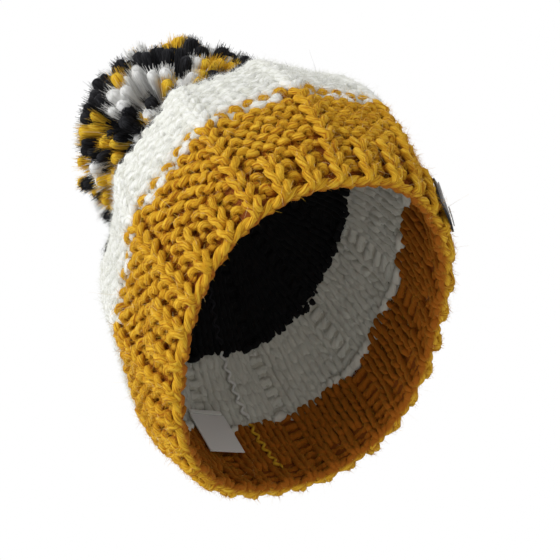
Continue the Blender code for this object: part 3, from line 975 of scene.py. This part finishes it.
def seam_yarn(colour, material):
    """The yarn that closes the back, lacing from side to side up the CAD seam."""
    node = "back_seam_" + colour
    path = seam_path(node)
    run = run_along(path)
    place = np.linspace(0, run[-1], SEAM_SAMPLES)
    line = np.stack([np.interp(place, run, path[:, axis]) for axis in range(3)], axis=1)
    line[:, 0] += SEAM_SWING * np.sin(2 * np.pi * place / ROW_HEIGHT)
    inwards = unit(np.array((0, RIM.centre, 0)) - line)
    line += inwards * SEAM_YARN_RADIUS / 2
    parts = Parts()
    yarn_tube(parts, line, inwards, SEAM_YARN_RADIUS, False)
    piece = parts.build(colour + "_seam", [material])
    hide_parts(node)
    attach(piece, colour)


def woven_material(name, colour, threads, strength, roughness, sheen):
    """Woven cloth: fine crossing threads in the piece's own space."""
    material, tree, shader = principled(name, roughness, sheen)
    shader.inputs["Base Color"].default_value = (*colour, 1)
    place = add_node(tree, "ShaderNodeTexCoord")
    heights = []
    for axis in ("X", "Z"):
        wave = add_node(tree, "ShaderNodeTexWave", bands_direction=axis)
        wave.inputs["Scale"].default_value = threads
        tree.links.new(place.outputs["Object"], wave.inputs["Vector"])
        heights.append(wave.outputs["Fac"])
    both = add_node(tree, "ShaderNodeMath", operation="ADD")
    tree.links.new(heights[0], both.inputs[0])
    tree.links.new(heights[1], both.inputs[1])
    add_bump(tree, shader, both.outputs[0], strength, 0.0002)
    return material


def raised_label(node, material):
    """A copy of a piece of the side label that stands clear of the rim's loops."""
    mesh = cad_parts[node].data.copy()
    piece = bpy.data.objects.new("raised_" + node, mesh)
    bpy.context.scene.collection.objects.link(piece)
    low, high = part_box("side_label")
    out = (low + high) / 2 - Vector((0, RIM.centre, (low.z + high.z) / 2))
    mesh.transform(Matrix.Translation(out.normalized() * LABEL_LIFT))
    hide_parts(node)
    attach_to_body(piece, "hat")
    soften(piece, material)


def dress(node, material):
    """Gives a CAD node its material and soft edges."""
    soften(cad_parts[node], material)


def soften(piece, material):
    piece.data.materials.clear()
    piece.data.materials.append(material)
    bevel = piece.modifiers.new("soft edges", "BEVEL")
    bevel.width = 0.0003
    bevel.segments = 2
    bevel.limit_method = "ANGLE"


def labels():
    """The side label, the care label and the stitches that hold them."""
    label = woven_material("label_cloth", LABEL_COLOUR, 260, 0.5, 0.62, 0.35)
    thread = flat_material("label_thread", LABEL_THREAD_COLOUR, 0.6)
    satin = woven_material("care_satin", SATIN_COLOUR, 420, 0.25, 0.42, 0.25)
    tack = flat_material("care_label_thread", YARN_COLOURS["cream"][1], 0.8)
    raised_label("side_label", label)
    raised_label("side_label_stitches_front", thread)
    raised_label("side_label_stitches_back", thread)
    dress("care_label", satin)
    dress("care_label_stitches", tack)


def small_yarns(yarn):
    """The gathering yarn, knots, binding, cord and seams. yarn is {colour: material}."""
    for name, node, winding, radius, body in WOUND_YARNS:
        wound_yarn(name, node, torus_knot(*winding), radius, yarn["black"], body)
    pompom_cord(yarn["black"])
    for colour, material in yarn.items():
        seam_yarn(colour, material)


def area_light(name, offset, size, power):
    """A round soft light that points at the hat's middle from this offset."""
    light = bpy.data.lights.new(name, "AREA")
    light.shape = "DISK"
    light.size = size
    light.energy = power
    lamp = bpy.data.objects.new(name, light)
    bpy.context.scene.collection.objects.link(lamp)
    lamp.location = Vector(LIGHT_TARGET) + offset
    lamp.rotation_euler = (-offset).to_track_quat("-Z", "Y").to_euler()


def camera_axes():
    """The camera's backward, right and up directions."""
    yaw, pitch, roll = CAMERA_YAW, CAMERA_PITCH, CAMERA_ROLL
    back = Vector((math.sin(yaw) * math.cos(pitch), -math.cos(yaw) * math.cos(pitch), math.sin(pitch)))
    level = Vector((math.cos(yaw), math.sin(yaw), 0))
    upright = back.cross(level)
    right = level * math.cos(roll) + upright * math.sin(roll)
    up = upright * math.cos(roll) - level * math.sin(roll)
    return back, right, up


def camera_place():
    back, right, up = camera_axes()
    centre = Vector((0, RIM.centre, 0))
    return centre + right * CAMERA_SHIFT[0] + up * CAMERA_SHIFT[1] + back * CAMERA_DISTANCE


def place_camera():
    back, right, up = camera_axes()
    place = camera_place()
    camera = bpy.data.cameras.new("camera")
    camera.sensor_width = 36
    camera.lens = CAMERA_LENS
    camera.clip_start = 0.01
    body = bpy.data.objects.new("camera", camera)
    body.matrix_world = Matrix((
        (right.x, up.x, back.x, place.x),
        (right.y, up.y, back.y, place.y),
        (right.z, up.z, back.z, place.z),
        (0, 0, 0, 1),
    ))
    bpy.context.scene.collection.objects.link(body)
    bpy.context.scene.camera = body


def floor_material():
    """A pale floor that fades out with distance. Only a camera above it sees it."""
    material, tree, shader = principled("floor", 0.9)
    shader.inputs["Base Color"].default_value = (*FLOOR_COLOUR, 1)
    geometry = add_node(tree, "ShaderNodeNewGeometry")
    path = add_node(tree, "ShaderNodeLightPath")
    front = add_node(tree, "ShaderNodeMath", operation="SUBTRACT")
    front.inputs[0].default_value = 1.0
    tree.links.new(geometry.outputs["Backfacing"], front.inputs[1])
    distance = add_node(tree, "ShaderNodeVectorMath", operation="LENGTH")
    tree.links.new(geometry.outputs["Position"], distance.inputs[0])
    near = add_node(tree, "ShaderNodeMath", operation="SUBTRACT")
    near.inputs[0].default_value = 1.0
    tree.links.new(remap(tree, distance.outputs["Value"], *FLOOR_FADE), near.inputs[1])
    facing_camera = add_node(tree, "ShaderNodeMath", operation="MULTIPLY")
    tree.links.new(front.outputs[0], facing_camera.inputs[0])
    tree.links.new(path.outputs["Is Camera Ray"], facing_camera.inputs[1])
    seen = add_node(tree, "ShaderNodeMath", operation="MULTIPLY")
    tree.links.new(facing_camera.outputs[0], seen.inputs[0])
    tree.links.new(near.outputs[0], seen.inputs[1])
    clear = add_node(tree, "ShaderNodeBsdfTransparent")
    mix = add_node(tree, "ShaderNodeMixShader")
    tree.links.new(seen.outputs[0], mix.inputs["Fac"])
    tree.links.new(clear.outputs[0], mix.inputs[1])
    tree.links.new(shader.outputs[0], mix.inputs[2])
    tree.links.new(mix.outputs[0], tree.nodes["Material Output"].inputs["Surface"])
    return material


def studio_world():
    """An even white studio that shows as white and lights the hat more softly than it looks."""
    world = bpy.data.worlds.new("studio")
    world.use_nodes = True
    tree = world.node_tree
    path = add_node(tree, "ShaderNodeLightPath")
    strength = add_node(tree, "ShaderNodeMapRange")
    strength.inputs["To Min"].default_value = AMBIENT_LIGHT
    strength.inputs["To Max"].default_value = BACKDROP_LIGHT
    tree.links.new(path.outputs["Is Camera Ray"], strength.inputs["Value"])
    background = tree.nodes["Background"]
    background.inputs["Color"].default_value = (1, 1, 1, 1)
    tree.links.new(strength.outputs["Result"], background.inputs["Strength"])
    return world


def studio():
    """The floor, the backdrop and the lights."""
    sides = ((-1, -1), (1, -1), (1, 1), (-1, 1))
    corners = [(x * FLOOR_HALF, y * FLOOR_HALF, FLOOR_HEIGHT) for x, y in sides]
    floor = new_mesh("floor", corners, np.array([[0, 1, 2, 3]]), {}, [floor_material()])
    bpy.context.scene.world = studio_world()
    axes = camera_axes()
    for name, (place, size, power) in CAMERA_LAMPS.items():
        offset = sum((axis * step for axis, step in zip(axes, place)), Vector((0, 0, 0)))
        area_light(name, offset, size, power)
    area_light("top", Vector(TOP_LAMP[0]), *TOP_LAMP[1:])
    bpy.context.scene.view_settings.view_transform = "Standard"


yarn_materials = knit_pieces()
small_yarns(yarn_materials)
labels()
pompom()
studio()
place_camera()
